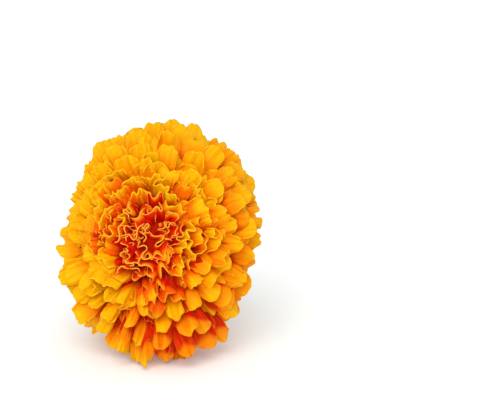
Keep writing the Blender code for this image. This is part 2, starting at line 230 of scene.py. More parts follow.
def petalSurface(rule, columns, rows):
    u = np.sin(np.linspace(-1, 1, columns + 1) * math.pi / 2)[None, :]
    crowded = 1 - (1 - np.linspace(0, 1, rows + 1)) ** form["crowding"]
    straight = mix(rule["start"], 1.0, crowded[:, None])
    limb = 1 - rule["limbStart"]
    v = np.clip((straight - rule["limbStart"]) / limb, 0, 1)
    length = np.linalg.norm(rule["spine"][3] - rule["spine"][0])
    arc = np.sqrt(np.maximum(0.0, 1 - u * u))
    rounding = rule["round"] * rule["halfWidth"] * (1 - arc)
    notch = rule["notch"] * np.exp(-((u - rule["notchPlace"]) / form["notchWidth"]) ** 2)
    tipWave = rule["tipWave"] * np.cos(rule["tipWaveCount"] * math.pi * u + rule["foldPhase"])
    t = (straight - v ** 3 * (rounding + v ** 3 * (notch - tipWave)) / length)[..., None]
    centre, heading = bezier(rule["spine"], t)
    side = np.array((-math.sin(rule["phi"]), math.cos(rule["phi"]), 0.0))
    twist = (rule["twist"] * v)[..., None]
    across = side * np.cos(twist) + unit(np.cross(heading, side)) * np.sin(twist)
    face = np.cross(heading, across)
    taper = rule["taper"] * smooth((v - form["taperFrom"]) / (1 - form["taperFrom"]))
    broad = mix(rule["claw"], 1.0, smooth(v / form["fullWidthAt"])) * (1 - taper)
    width = rule["halfWidth"] * broad
    run, rise = foldedLine(rule, u, v)
    cupped = rule["cup"] * u * u * width
    pleat = rule["pleat"] * smooth(v * form["pleatGrowth"]) * np.sin(
        rule["pleatCount"] * math.pi * u + rule["pleatPhase"])
    margin = v ** 4 + np.abs(u) ** 3 * v ** 1.5
    ruffle = rule["ruffle"] * margin * np.sin(
        rule["ruffleCount"] * math.pi * u + rule["ruffleRun"] * v + rule["rufflePhase"])
    rolled = np.clip((v - rule["rollFrom"]) / (1 - rule["rollFrom"]), 0, 1)
    rollLength = (1 - rule["rollFrom"]) * limb * length
    roll = rule["roll"] * (1 + rule["rollSpread"] * np.sin(form["rollWave"] * u + rule["pleatPhase"]))
    roll = np.where(np.abs(roll) < form["leastRoll"], form["leastRoll"], roll)
    back = -rollLength * (1 - np.cos(roll * rolled)) / roll
    short = rollLength * (np.sin(roll * rolled) / roll - rolled)
    out = (rise * width + cupped + pleat + ruffle + back)[..., None]
    drift = side * (rule["drift"] * v * v)[..., None]
    points = centre + across * (run * width)[..., None] + face * out + heading * short[..., None] + drift
    points = points @ headTurn.T + headPlace[:3, 3]
    points = pressedOnFloor(points, heading @ headTurn.T)
    fromTip = (1 - straight) * length / mm
    return points, {"fromTip": fromTip, "fromEdge": np.minimum(arc * width / mm, fromTip), "across": u,
                    "tone": rule["tone"], "redAndShade": rule["redAndShade"]}


def gridFaces(rows, columns, closed=False):  # the corner numbers of a grid's faces
    place = np.arange(columns if closed else columns - 1)
    beside = (place + 1) % columns
    row = np.arange(rows - 1)[:, None] * columns
    corners = (row + place, row + beside, row + columns + beside, row + columns + place)
    return np.stack(corners, axis=2).reshape(-1, 4)


def newMesh(name, points, faces, marks):  # marks are numbers at the corners, for the materials to read
    mesh = bpy.data.meshes.new(name)
    mesh.from_pydata(points.reshape(-1, 3).tolist(), [], faces.tolist())
    for label, values in marks.items():
        layer = mesh.attributes.new(label, "FLOAT", "POINT")
        layer.data.foreach_set("value", np.broadcast_to(values, points.shape[:-1]).astype(np.float32).ravel())
    return mesh


def newPiece(name, data):
    piece = bpy.data.objects.new(name, data)
    scene.collection.objects.link(piece)
    return piece


# Many florets as one piece: each is a grid moved into place, closed by Solidify.
def petalPiece(name, rules, grid, thickness, paint, node):
    columns, rows = grid
    made = [petalSurface(rule, columns, rows) for rule in rules]
    points = np.stack([surface for surface, marks in made])
    corners = gridFaces(rows + 1, columns + 1)
    perPetal = (columns + 1) * (rows + 1)
    faces = np.concatenate([corners + perPetal * place for place in range(len(rules))])
    allMarks = {label: np.stack([np.broadcast_to(marks[label], points.shape[1:3]) for surface, marks in made])
                for label in made[0][1]}
    mesh = newMesh(name, points, faces, allMarks)
    piece = newPiece(name, mesh)
    thick = piece.modifiers.new("petalThickness", "SOLIDIFY")
    thick.thickness = thickness
    thick.offset = 0
    solid = bpy.data.meshes.new_from_object(piece.evaluated_get(bpy.context.evaluated_depsgraph_get()))
    piece.modifiers.clear()
    piece.data = solid
    bpy.data.meshes.remove(mesh)
    solid.name = name
    finishPiece(piece, paint, node)
    print(name, len(rules), "florets,", len(solid.polygons) * 2, "triangles")


def finishPiece(piece, paint, node):
    piece.data.materials.append(paint)
    piece.data.shade_smooth()
    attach(piece, "root")
    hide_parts(node)


# Materials

def newGroup(name, inputs, outputs):  # a tuple is a colour, a number a plain value
    group = bpy.data.node_groups.new(name, "ShaderNodeTree")
    for direction, sockets in (("INPUT", inputs), ("OUTPUT", outputs)):
        for label, value in sockets.items():
            kind = "NodeSocketColor" if isinstance(value, tuple) else "NodeSocketFloat"
            made = group.interface.new_socket(label, in_out=direction, socket_type=kind)
            made.default_value = (*value, 1) if isinstance(value, tuple) else value
    return group, group.nodes.new("NodeGroupInput").outputs, group.nodes.new("NodeGroupOutput").inputs


def addNode(tree, kind, **settings):
    made = tree.nodes.new(kind)
    for key, value in settings.items():
        setattr(made, key, value)
    return made


def feed(value, socket):  # another node's output, a number, or a colour without its alpha
    if isinstance(value, bpy.types.NodeSocket):
        socket.id_data.links.new(value, socket)
    else:
        socket.default_value = (*value, 1) if socket.type == "RGBA" else value


def feedAll(node, values):
    for label, value in values.items():
        feed(value, node.inputs[label])


def treeOf(*values):  # the tree that the nodes of these values are in
    return next(value.id_data for value in values if isinstance(value, bpy.types.NodeSocket))


def mathNode(operation, *values):
    made = addNode(treeOf(*values), "ShaderNodeMath", operation=operation)
    for value, socket in zip(values, made.inputs):
        feed(value, socket)
    return made.outputs[0]


def times(first, second):
    return mathNode("MULTIPLY", first, second)


def scaled(value, factor, added):
    return mathNode("MULTIPLY_ADD", value, factor, added)


def oneMinus(value):
    return mathNode("SUBTRACT", 1.0, value)


def readMark(tree, name):
    return addNode(tree, "ShaderNodeAttribute", attribute_name=name).outputs["Fac"]


def placeOn(tree):
    return addNode(tree, "ShaderNodeNewGeometry").outputs["Position"]


def noiseShare(place, scale, detail=2.0):
    made = addNode(place.id_data, "ShaderNodeTexNoise")
    feedAll(made, {"Vector": place, "Scale": scale, "Detail": detail})
    return made.outputs["Fac"]


def cellDistance(place, scale):
    made = addNode(place.id_data, "ShaderNodeTexVoronoi")
    feedAll(made, {"Vector": place, "Scale": scale})
    return made.outputs["Distance"]


def rampShare(value, low, high):
    made = addNode(value.id_data, "ShaderNodeMapRange", interpolation_type="SMOOTHSTEP")
    feedAll(made, {"Value": value, "From Min": low, "From Max": high})
    return made.outputs["Result"]


def mixColour(share, first, second, blend="MIX"):
    made = addNode(treeOf(share, first), "ShaderNodeMix", data_type="RGBA", blend_type=blend)
    for label, value in (("Factor", share), ("A", first), ("B", second)):
        feed(value, next(s for s in made.inputs if s.name == label and s.enabled))
    return next(s for s in made.outputs if s.enabled)


def newPaint(name):
    paint = bpy.data.materials.new(name)
    paint.use_nodes = True
    return paint, paint.node_tree.nodes["Principled BSDF"]


def addBump(shader, height, look):
    bump = addNode(shader.id_data, "ShaderNodeBump")
    feedAll(bump, {"Height": height, "Strength": look["bumpStrength"], "Distance": look["bumpDistance"]})
    feed(bump.outputs["Normal"], shader.inputs["Normal"])


# Scales are in cells a metre, lengths in mm, and a pair is a factor and what is added.
pattern = {
    "streakEdges": (0.36, 0.64),
    "streakShift": 37.0,  # the tone moves the streaks, so that each petal has its own
    "driftScale": 90.0,
    "driftDetail": 3.0,
    "drift": (5.0, -2.5),  # how far the colours wander along a petal
    "toneLength": 6.0,
    "veins": 38.0,
    "veinStrength": 0.10,
    "raggedScale": 420.0,
    "ragged": (3.0, -0.5),  # the margin is wider and narrower
    "tipRedAndShade": (0.5, 0.5),
    "paleMargin": (-2.5, 3.5),  # the reddest petals have deep red margins, painted shade of rolled edges, the others pale ones
    "deepMargin": (2.6, -2.6),
    "unevenScale": 260.0,
}


def petalStreakGroup():  # soft lengthwise streaks, cut in as grooves by the relief; their darker colour is partly the petals' own streaks, partly painted shade in the grooves
    tree, given, out = newGroup("petalStreak", {"Across Scale": 2.6, "Along Scale": 0.07}, {"Streak": 0.0})
    spot = addNode(tree, "ShaderNodeCombineXYZ")
    for label, mark, scale in (("X", "across", given["Across Scale"]), ("Y", "fromTip", given["Along Scale"]),
                               ("Z", "tone", pattern["streakShift"])):
        feed(times(readMark(tree, mark), scale), spot.inputs[label])
    cloud = noiseShare(spot.outputs["Vector"], 1.0)
    feed(rampShare(cloud, *pattern["streakEdges"]), out["Streak"])


def veinShare(tree):
    wave = mathNode("SINE", times(readMark(tree, "across"), pattern["veins"]))
    return scaled(wave, 0.5, 0.5)


def petalColourGroup():
    tree, given, out = newGroup("petalColour", {
        "Tip Colour": (1, 0.45, 0.005), "Middle Colour": (0.98, 0.25, 0.001),
        "Root And Shade Colour": (0.6, 0.02, 0), "Margin Colour": (1, 0.55, 0.02),
        "Deep Margin Colour": (0.75, 0.07, 0.015), "Tip Length": 6.0, "Middle Length": 14.0,
        "Margin Width": 0.5, "Margin Strength": 0.6, "Tone Strength": 0.5, "Shaded Flank Length": 3.5,
        "Streak": 0.0, "Streak Shade Strength": 0.17, "Glow Tint": (1, 0.4, 0),
    }, {"Colour": (1, 1, 1), "Glow": (1, 1, 1)})
    place = placeOn(tree)
    across = readMark(tree, "across")
    redAndShade = readMark(tree, "redAndShade")
    drift = noiseShare(place, pattern["driftScale"], pattern["driftDetail"])
    spot = mathNode("ADD", readMark(tree, "fromTip"), scaled(drift, *pattern["drift"]))
    toneLength = times(given["Tone Strength"], pattern["toneLength"])
    spot = mathNode("ADD", spot, times(readMark(tree, "tone"), toneLength))
    # painted shade: the flanks of each petal turn to the deeper colours sooner, as the sides of a rounded
    # petal fall into shade
    shadedFlank = times(times(across, across), redAndShade)
    spot = scaled(shadedFlank, given["Shaded Flank Length"], spot)
    # from the tip colour inward to the middle and root colours: partly the petals' own redder bases, partly
    # painted shade of the depth between petals
    nearTip = rampShare(spot, 0.0, given["Tip Length"])
    nearTip = times(nearTip, scaled(redAndShade, *pattern["tipRedAndShade"]))
    far = times(rampShare(spot, given["Tip Length"], given["Middle Length"]), redAndShade)
    ragged = scaled(noiseShare(place, pattern["raggedScale"]), *pattern["ragged"])
    fromEdge = times(readMark(tree, "fromEdge"), ragged)
    margin = oneMinus(rampShare(fromEdge, 0.0, given["Margin Width"]))
    # painted shade: deep red margins on the reddest petals stand for the shade of rolled edges; pale margins
    # on the others
    pale = mathNode("MINIMUM", scaled(redAndShade, *pattern["paleMargin"]), 1.0)
    deep = mathNode("MAXIMUM", scaled(redAndShade, *pattern["deepMargin"]), 0.0)
    colour = given["Tip Colour"]
    for share, name in ((nearTip, "Middle"), (far, "Root And Shade"),
                        (times(given["Streak"], given["Streak Shade Strength"]), "Middle"),
                        (times(veinShare(tree), pattern["veinStrength"]), "Root And Shade"),
                        (times(margin, times(pale, given["Margin Strength"])), "Margin"),
                        (times(margin, deep), "Deep Margin")):
        colour = mixColour(share, colour, given[name + " Colour"])
    feed(colour, out["Colour"])
    # painted glow: the colour, tinted redder, feeds the emission that lifts the shade
    feed(mixColour(1.0, colour, given["Glow Tint"], "MULTIPLY"), out["Glow"])


def petalReliefGroup():
    tree, given, out = newGroup("petalRelief", {
        "Vein Height": 0.5, "Cell Height": 0.3, "Cell Scale": 2500.0,
        "Roughness": 0.5, "Roughness Spread": 0.15, "Streak": 0.0, "Streak Height": 1.6,
    }, {"Height": 0.0, "Roughness": 0.5})
    place = placeOn(tree)
    veins = times(veinShare(tree), given["Vein Height"])
    cells = times(cellDistance(place, given["Cell Scale"]), given["Cell Height"])
    groove = times(given["Streak"], given["Streak Height"])
    height = mathNode("SUBTRACT", mathNode("ADD", veins, cells), groove)
    uneven = mathNode("SUBTRACT", noiseShare(place, pattern["unevenScale"]), 0.5)
    uneven = times(uneven, given["Roughness Spread"])
    feed(height, out["Height"])
    feed(mathNode("ADD", given["Roughness"], uneven), out["Roughness"])


def placedGroup(tree, name, values):
    made = addNode(tree, "ShaderNodeGroup", node_tree=bpy.data.node_groups[name])
    feedAll(made, values)
    return made.outputs


def petalMaterial(name, look):
    paint, shader = newPaint(name)
    tree = paint.node_tree
    streak = {"Streak": placedGroup(tree, "petalStreak", {})["Streak"]}
    colour = placedGroup(tree, "petalColour", {**look["colour"], **streak})
    relief = placedGroup(tree, "petalRelief", {**look["relief"], **streak})
    addBump(shader, relief["Height"], look)
    feedAll(shader, {"Base Color": colour["Colour"], "Emission Color": colour["Glow"],
                     "Roughness": relief["Roughness"], **look["shader"]})
    return paint


def changed(look, colours):  # the same finish with some other colours
    return {**look, "colour": {**look["colour"], **colours}}


petalStreakGroup()
petalColourGroup()
petalReliefGroup()
print("node groups made")

# The petals round the centre

outer = {
    "seed": 10,
    "firstAngle": 21.5 * degree,
    "innerSpacing": 5.0 * mm,
    "outerSpacing": 7.3 * mm,
    "backSpacing": 9.4 * mm,
    "halfWidths": (3.3, 4.3),  # mm, near the centre and at the rim
    "claw": 0.45,
    "leans": (20, 38),  # degrees that a tip leans out, near the centre and at the rim
    "detailSeed": 45,
    # ranges of chance, one draw each in this order, and the idle ones between them
    "firstDraws": {"phi": (-0.06, 0.06), "halfWidth": (0.88, 1.12)},
    "idleDraws": (0, 0, 3, 0, 2, 0, 0),
    "lastDraws": {"cup": (-0.03, 0.10), "twist": (-9, 9), "drift": (-0.6, 0.6), "lean": (-6, 6),
                  "reach": (0, 1)},
    "draws": {
        "cup": (0.05, 0.3), "halfWidth": (0.75, 1.05), "lean": (-16, 10), "twist": (-45, 45),
        "round": (0.95, 1.35), "notch": (-0.6, 0.9), "notchPlace": (-0.35, 0.35),
        "tipWave": (0.0, 0.2), "tipFrill": (0.1, 0.45), "tipWaveCount": (2.0, 3.5),
        "taper": (0.0, 0.2), "fold": (0.3, 0.7), "foldCount": (0.8, 1.5), "foldPhase": (0, math.tau),
        "foldRise": (0.8, 1.8), "pleat": (0.03, 0.16), "sidePleat": (0.1, 0.3),
        "pleatCount": (2.6, 4.2), "pleatPhase": (0, math.tau), "ruffle": (0.1, 0.5),
        "ruffleCount": (1.0, 2.2), "ruffleRun": (2, 6), "rufflePhase": (0, math.tau),
        "roll": (-25, 90), "rollSpread": (-0.5, 0.5), "rollFrom": (0.25, 0.65), "tone": (-0.7, 0.7),
    },
    # sides of the face where petals differ: direction and spread in degrees
    "sides": {"upperLeft": (143, 104), "right": (0, 65), "upperRight": (52, 50),
              "lowerRight": (-50, 60), "lowerLeft": (-142, 45), "below": (-100, 75)},
    # petals between those of the spiral; two reaches: elsewhere and at the upper left
    "filler": {"seed": 47, "turn": math.pi * 0.76, "reach": (0.88, 0.97), "width": 0.9},
    # most of those below are shorter still and all red, a painted shade for the dark red between the lower
    # petals
    "deep": {"share": 0.9, "from": 0.3, "angles": (30 * degree, 86 * degree), "reach": 0.98, "tone": 2.2},
    # small petals that crowd the upper left and the right
    "frill": {"seed": 61, "turn": math.pi * 1.4, "reach": (0.90, 0.985), "width": 0.8, "share": 1.3,
              "angles": (30 * degree, 113 * degree), "sides": ((128, 100, 1.0), (25, 75, 0.75))},
    # more behind the rim, where it would show the claws
    "tucked": {"seed": 23, "count": 46, "reach": (0.90, 0.98), "angles": (91 * degree, 107 * degree),
               "from": -12 * degree, "sweep": 130 * degree},
    "added": ((-106, 80, 0.98),),  # one more where the edge had a gap: direction, angle, reach
    "reachGain": 1.02,  # makes up for tips that roll back
    "tipHeight": -1.4 * mm,  # lower tips than this would lie under the floor
    "lifted": (-110, 22),  # in this direction the tips end higher
    "liftedHeight": 5.0 * mm,
    "floorStep": 0.99,  # a petal is made shorter by such steps until it is clear
    "outlineStep": 0.988,
    "outlineSteps": 10,
    "outlineGrid": (10, 8),
    "gathered": (-97, 16),  # here they lean together round the face, by so much
    "gatheredTurn": 4.5 * degree,
    "frontLimit": -33.6 * mm,  # no petal stands out farther in front than this
    "outlineReach": 1.03,  # nor farther out of the head's outline
    # where the outline bulges or is flatter: direction, spread and share of the reach
    "bulges": ((124, 20, 0.075), (107, 22, -0.04), (-170, 34, -0.01), (-165, 12, -0.05),
               (-149, 10, 0.055), (-141, 9, -0.03), (-127, 8, 0.035), (-122, 40, -0.11),
               (-97, 7, -0.06), (-95, 24, 0.06), (-88, 9, 0.03), (-62, 50, 0.09),
               (-15, 60, 0.05), (22, 24, 0.04), (55, 28, -0.04), (70, 22, -0.045), (85, 25, 0.015)),
    # where petals are redder or yellower: direction, spread, tone; painted light and shade, yellower where
    # the upper side is lit, redder to darken the left
    "toneSides": ((142, 130, -0.3), (178, 60, 0.25), (80, 60, -0.35)),
    # and in single places: direction, spread, angle from the face, spread, tone; partly painted light and
    # shade for spots that fall in shadow, partly the petals' own tone
    "spotTonesAndShade": ((160, 50, 31, 20, 0.9), (45, 30, 38, 14, -0.8), (-64, 22, 38, 16, -0.9),
                (-110, 18, 72, 22, -1.1), (-85, 14, 56, 14, 0.6), (-67, 18, 62, 18, 0.8),
                (-20, 30, 70, 20, -0.4), (-52, 15, 75, 20, -0.8), (-150, 25, 27, 10, -0.5),
                (-103, 25, 34, 10, -0.6), (-72, 20, 84, 14, 0.3)),
    "redAndShadeLeft": (160, 50),  # the deep red reaches farther out on this side
    "paleLeft": (145, 165),  # sides with less and with more of the red, which is partly painted shade: less on the lit upper left and the inner right, more below
    "paleRight": (30, 75),
    "redBelow": (-90, 60),
    "thickness": 0.32 * mm,
    "grid": (22, 17),
    "backGrid": (14, 12),
    "whorls": {"petalsInner": (0, 40), "petalsMiddle": (40, 58), "petalsOuter": (58, 77),
               "petalsRim": (77, 98), "petalsBack": (98, 180)},
    "innerColour": {"Middle Colour": (0.85, 0.12, 0.0), "Root And Shade Colour": (0.52, 0.004, 0.0),
                    "Tip Length": 4.6, "Middle Length": 7.8, "Margin Strength": 0.75},
    "backColour": {"Middle Colour": (0.97, 0.24, 0.002), "Root And Shade Colour": (0.80, 0.07, 0.0),
                   "Tip Length": 8.0, "Middle Length": 18.0},
    "look": {
        "colour": {
            "Tip Colour": (0.90, 0.51, 0.001), "Middle Colour": (0.93, 0.28, 0.0),
            "Root And Shade Colour": (0.64, 0.007, 0.0), "Margin Colour": (1.0, 0.56, 0.015),
            "Tip Length": 6.0, "Middle Length": 10.0,
            "Margin Width": 0.45, "Margin Strength": 0.5, "Tone Strength": 0.6,
        },
        "relief": {"Vein Height": 0.5, "Cell Height": 0.25, "Roughness": 0.5},
        "bumpStrength": 0.7,
        "bumpDistance": 0.15 * mm,
        "shader": {
            "Specular IOR Level": 0.06,
            "Subsurface Weight": 0.3,
            "Subsurface Radius": (1.0, 0.5, 0.2),
            "Subsurface Scale": 0.25 * mm,
            "Emission Strength": 0.04,  # painted glow: a small emission that lifts the petals' shade, standing in for light that comes through from behind
        },
    },
}


def after(angle, start, run):  # 0 up to an angle, 1 from so many degrees beyond it
    return smooth((angle - start) / (run * degree))


def drawn(chance, ranges):
    return {name: chance.uniform(*span) for name, span in ranges.items()}


def outerSpacing(theta):
    wide = after(theta, outer["firstAngle"], 45)
    back = after(theta, 95 * degree, 18)
    return mix(mix(outer["innerSpacing"], outer["outerSpacing"], wide), outer["backSpacing"], back)


def floretRule(index, chance, own):  # the floret as the solids have it
    rule = drawn(chance, own["firstDraws"])
    for size in own["idleDraws"]:  # nothing uses these, but the later draws follow them
        if size:
            chance.randrange(size)
        else:
            chance.random()
    rule.update(drawn(chance, own["lastDraws"]))
    rule["phi"] = index * goldenAngle + rule["phi"]
    rule["drift"] *= mm
    rule["claw"] = own["claw"]
    return rule


def outerRule(index, theta, chance, turn=0.0):
    rule = floretRule(index, chance, outer)
    share = theta / head["lastAngle"]
    inner = 1 - after(theta, outer["firstAngle"], 22)
    rule["phi"] += turn
    rule["halfWidth"] = mix(*outer["halfWidths"], smooth(share * 1.6)) * mm * rule["halfWidth"]
    rule["twist"] = rule["twist"] * (1 + 1.6 * inner) * degree
    rule["lean"] = (mix(*outer["leans"], smooth(share * 1.5)) + rule["lean"]) * degree
    rule["reach"] = mix(0.955 - 0.07 * inner, 1.02, rule["reach"])
    return rule


def shortOfFloor(theta, rule):  # a petal that would go under the floor is shorter
    spine = petalSpine(theta, rule)
    least = outer["tipHeight"] + outer["liftedHeight"] * nearSide(rule["phi"], *outer["lifted"])
    while (headTurn @ spine[3] + headPlace[:3, 3])[2] < least:
        rule["reach"] *= outer["floorStep"]
        spine = petalSpine(theta, rule)
    return spine


def heldIn(theta, rule):  # so is one whose corners would stick out of the head
    rule["spine"] = shortOfFloor(theta, rule)
    for attempt in range(outer["outlineSteps"]):
        points = petalSurface(rule, *outer["outlineGrid"])[0]
        own = (points - headPlace[:3, 3]) @ headTurn
        away = np.hypot(own[..., 0], own[..., 1]) / outlineRadius(np.arctan2(own[..., 1], own[..., 0]))
        limit = outer["outlineReach"] + bulge(rule["phi"])
        if away.max() < limit and points[..., 1].min() > outer["frontLimit"]:
            break
        rule["reach"] *= outer["outlineStep"]
        rule["spine"] = petalSpine(theta, rule)


def nearSide(phi, middle, spread):  # 1 in that direction round the face, 0 beyond the spread
    away = abs((phi - middle * degree + math.pi) % math.tau - math.pi)
    return float(smooth(1 - away / (spread * degree)))


def bulge(phi):
    return sum(share * nearSide(phi, middle, spread) for middle, spread, share in outer["bulges"])


def spotToneAndShade(phi, theta):
    tone = 0
    for middle, spread, angle, angleSpread, amount in outer["spotTonesAndShade"]:
        near = smooth(1 - abs(math.degrees(theta) - angle) / angleSpread)
        tone += amount * nearSide(phi, middle, spread) * near
    return tone


def outerDetail(rule, theta, chance):  # what makes it a petal of its own place
    inner = 1 - after(theta, outer["firstAngle"], 30)
    redTo = (28 + 9 * nearSide(rule["phi"], *outer["redAndShadeLeft"])) * degree
    innermost = 1 - after(theta, redTo, 12)
    face = 1 - after(theta, 85 * degree, 15)
    between = smooth((theta - 32 * degree) / 0.2) * (1 - smooth((theta - 70 * degree) / 0.2))
    upperLeft, right, upperRight, lowerRight, lowerLeft, below = (
        nearSide(rule["phi"], *side) for side in outer["sides"].values())
    arched = max(right, lowerRight, below)
    frilled = max(inner * (1 - 0.8 * arched), upperLeft)
    rimmed = upperLeft * after(theta, 58 * degree, 14)
    wild = 0.25 + 0.35 * inner + 0.3 * max(upperLeft, below, right)
    broad = 1 + mix(0.16, 0.35, inner) * frilled - (0.15 + 0.15 * between) * below
    broad = broad + 0.3 * right * inner - 0.05 * upperRight
    pleated = max(1.8 * upperLeft, 0.9 * right, 0.8 * upperRight, 0.6 * below)
    flatter = max(right, upperRight)

    rule["phi"] += chance.uniform(-0.07, 0.07)
    rule["phi"] += outer["gatheredTurn"] * nearSide(rule["phi"], *outer["gathered"])
    phi = rule["phi"]
    rule["reach"] = (1 + (rule["reach"] - 0.99) * 0.5) * chance.uniform(0.99, 1.01) * outer["reachGain"]
    rule["reach"] *= 1 + (0.03 * below + bulge(phi)) * face
    rule["reach"] *= 1 - 0.07 * below * chance.choice((0, 1, 0))
    draw = drawn(chance, outer["draws"])
    rule["cup"] -= draw.pop("cup") * arched * (1 - 0.5 * inner)
    rule["halfWidth"] *= draw.pop("halfWidth") * broad
    rule["lean"] += draw.pop("lean") * degree
    rule["twist"] += draw.pop("twist") * wild * degree
    # painted light and shade by side: below, in the outer whorl and at the lower right the petals are redder,
    # at the lit lower left yellower
    redder = below * mix(-0.3, 0.8, after(theta, 66 * degree, 18)) + spotToneAndShade(phi, theta)
    redder += 0.5 * lowerRight - 0.8 * lowerLeft
    redder += sum(tone * nearSide(phi, *side) for *side, tone in outer["toneSides"])
    # painted light: less of the red depth on the lit upper left and on the inner right
    palest = 0.75 * nearSide(phi, *outer["paleLeft"]) * (1 - 0.35 * inner) * (1 - innermost)
    palest += 0.6 * nearSide(phi, *outer["paleRight"]) * inner
    rule.update({
        **draw,
        "round": draw["round"] * (1 - 0.55 * frilled - 0.3 * max(below, flatter, lowerRight)),
        "notch": max(0.0, draw["notch"]) * mm * (1 - max(below, right * inner)),
        "tipWave": (draw["tipWave"] * (1 - below) + draw["tipFrill"] * frilled) * mm,
        "tipWaveCount": draw["tipWaveCount"] + frilled + 0.8 * rimmed,
        "taper": draw["taper"] * (1 - frilled),
        "fold": draw["fold"] + 0.45 * frilled + 0.5 * below + 0.1 * flatter * (1 - inner),
        "foldCount": draw["foldCount"] + max(0.6 * frilled, 0.4 * flatter, 0.3 * below),
        "pleat": (draw["pleat"] + draw["sidePleat"] * pleated) * mm,
        "pleatCount": draw["pleatCount"] + 0.6 * upperLeft,
        "ruffle": (draw["ruffle"] + 0.3 * max(frilled, right * (1 - inner)) + 0.55 * below) * mm,
        "ruffleRun": draw["ruffleRun"] + 2.5 * below,
        "roll": draw["roll"] * (0.4 + 0.6 * face) * (1 - 0.5 * below - 0.4 * flatter) * degree,
        "tone": draw["tone"] * (1 + 0.3 * right) + redder,
        "redAndShade": 1 - palest + 0.25 * nearSide(phi, *outer["redBelow"]),
    })
    rule["limbStart"] = limbStart(petalSpine(theta, rule))
    rule["start"] = max(0.12, rule["limbStart"] - 0.12)
    heldIn(theta, rule)
    return rule


def shortened(theta, rule, reach, width=1.0):  # and narrower
    rule["reach"] *= reach
    rule["halfWidth"] *= width
    heldIn(theta, rule)
    return theta, rule


def spiralPetals(angles):
    chance = random.Random(outer["seed"])
    detail = random.Random(outer["detailSeed"])
    return [(theta, outerDetail(outerRule(index, theta, chance), theta, detail))
            for index, theta in enumerate(angles)]


def fillerPetals(angles):
    own, deep = outer["filler"], outer["deep"]
    chance = random.Random(own["seed"])
    made = []
    for index, theta in enumerate(angles):
        theta = min(head["lastAngle"], theta + chance.uniform(-2, 4) * degree)
        rule = outerDetail(outerRule(index, theta, chance, own["turn"]), theta, chance)
        below = nearSide(rule["phi"], *outer["sides"]["below"])
        first, last = deep["angles"]
        if below > deep["from"] and chance.random() < deep["share"] and theta < last:
            if theta < first:
                continue
            # painted shade: the deep ones are made red for the shade between the lower petals
            rule["reach"] *= deep["reach"]
            rule["tone"] += deep["tone"] + 2 * spotToneAndShade(rule["phi"], theta)
        reach = mix(*own["reach"], nearSide(rule["phi"], *outer["sides"]["upperLeft"]))
        made.append(shortened(theta, rule, reach, own["width"]))
    return made


def frillPetals(angles):
    own = outer["frill"]
    chance = random.Random(own["seed"])
    first, last = own["angles"]
    made = []
    for index, theta in enumerate(angles):
        rule = outerDetail(outerRule(index, theta, chance, own["turn"]), theta, chance)
        crowded = max(share * nearSide(rule["phi"], *side) for *side, share in own["sides"])
        if first < theta < last and chance.random() <= crowded * own["share"]:
            made.append(shortened(theta, rule, chance.uniform(*own["reach"]), own["width"]))
    return made


def tuckedPetals():
    own = outer["tucked"]
    chance = random.Random(own["seed"])
    backFrom = outer["whorls"]["petalsBack"][0] * degree
    made = []
    for index in range(own["count"]):
        theta = chance.uniform(*own["angles"])
        rule = outerRule(index, theta, chance)
        rule["phi"] = own["from"] + own["sweep"] * (index + chance.random()) / own["count"]
        outerDetail(rule, theta, chance)
        shortened(theta, rule, chance.uniform(*own["reach"]))
        made.append((max(theta, backFrom), rule))
    for direction, angle, reach in outer["added"]:
        theta = angle * degree
        rule = outerRule(0, theta, chance)
        rule["phi"] = direction * degree
        made.append(shortened(theta, outerDetail(rule, theta, chance), reach))
    return made


innerPaint = petalMaterial("petalInner", changed(outer["look"], outer["innerColour"]))
paints = {"petalsInner": innerPaint,
          "petalsBack": petalMaterial("petalBack", changed(outer["look"], outer["backColour"]))}
petalPaint = petalMaterial("petalOrange", outer["look"])
outerAngles = spiralAngles(outer["firstAngle"], head["lastAngle"], outerSpacing)
allOuter = spiralPetals(outerAngles) + fillerPetals(outerAngles) + frillPetals(outerAngles) + tuckedPetals()
for pieceName, (low, high) in outer["whorls"].items():
    chosen = [rule for theta, rule in allOuter if low * degree <= theta < high * degree]
    grid = outer["backGrid" if pieceName == "petalsBack" else "grid"]
    petalPiece(pieceName, chosen, grid, outer["thickness"], paints.get(pieceName, petalPaint),
               "outer_petals")

# The imported claws under the limbs, seen only as red depth between them; that deep red is partly painted
# shade

claws = {
    "share": 0.90,  # of the core's size, so that it stays under the limbs
    "crownHeight": 5.6 * mm,  # they stand higher under the centre
    "crownRadius": 9.0 * mm,
    "ridge": 0.035,
    "ridgesRound": 46,
    "ridgesAlong": 15,
    "around": 150,
    "along": 42,
    "behind": (2.1, 0.3),  # the angle from which they are paler, and over how much
    "fromTip": ((15, 3), (3.5, 2)),  # mm that the colours take for the depth, red and paler
}


def closeEnds(mesh):  # one face over each open end
    work = bmesh.new()
    work.from_mesh(mesh)
    bmesh.ops.holes_fill(work, edges=[edge for edge in work.edges if edge.is_boundary], sides=0)
    bmesh.ops.recalc_face_normals(work, faces=work.faces)
    work.to_mesh(mesh)
    work.free()


def roundPiece(name, points, marks, paint, node):  # points in the head's own frame
    faces = gridFaces(*points.shape[:2], closed=True)
    mesh = newMesh(name, points @ headTurn.T + headPlace[:3, 3], faces, marks)
    closeEnds(mesh)
    finishPiece(newPiece(name, mesh), paint, node)
    print(name, len(mesh.polygons) * 2, "triangles")


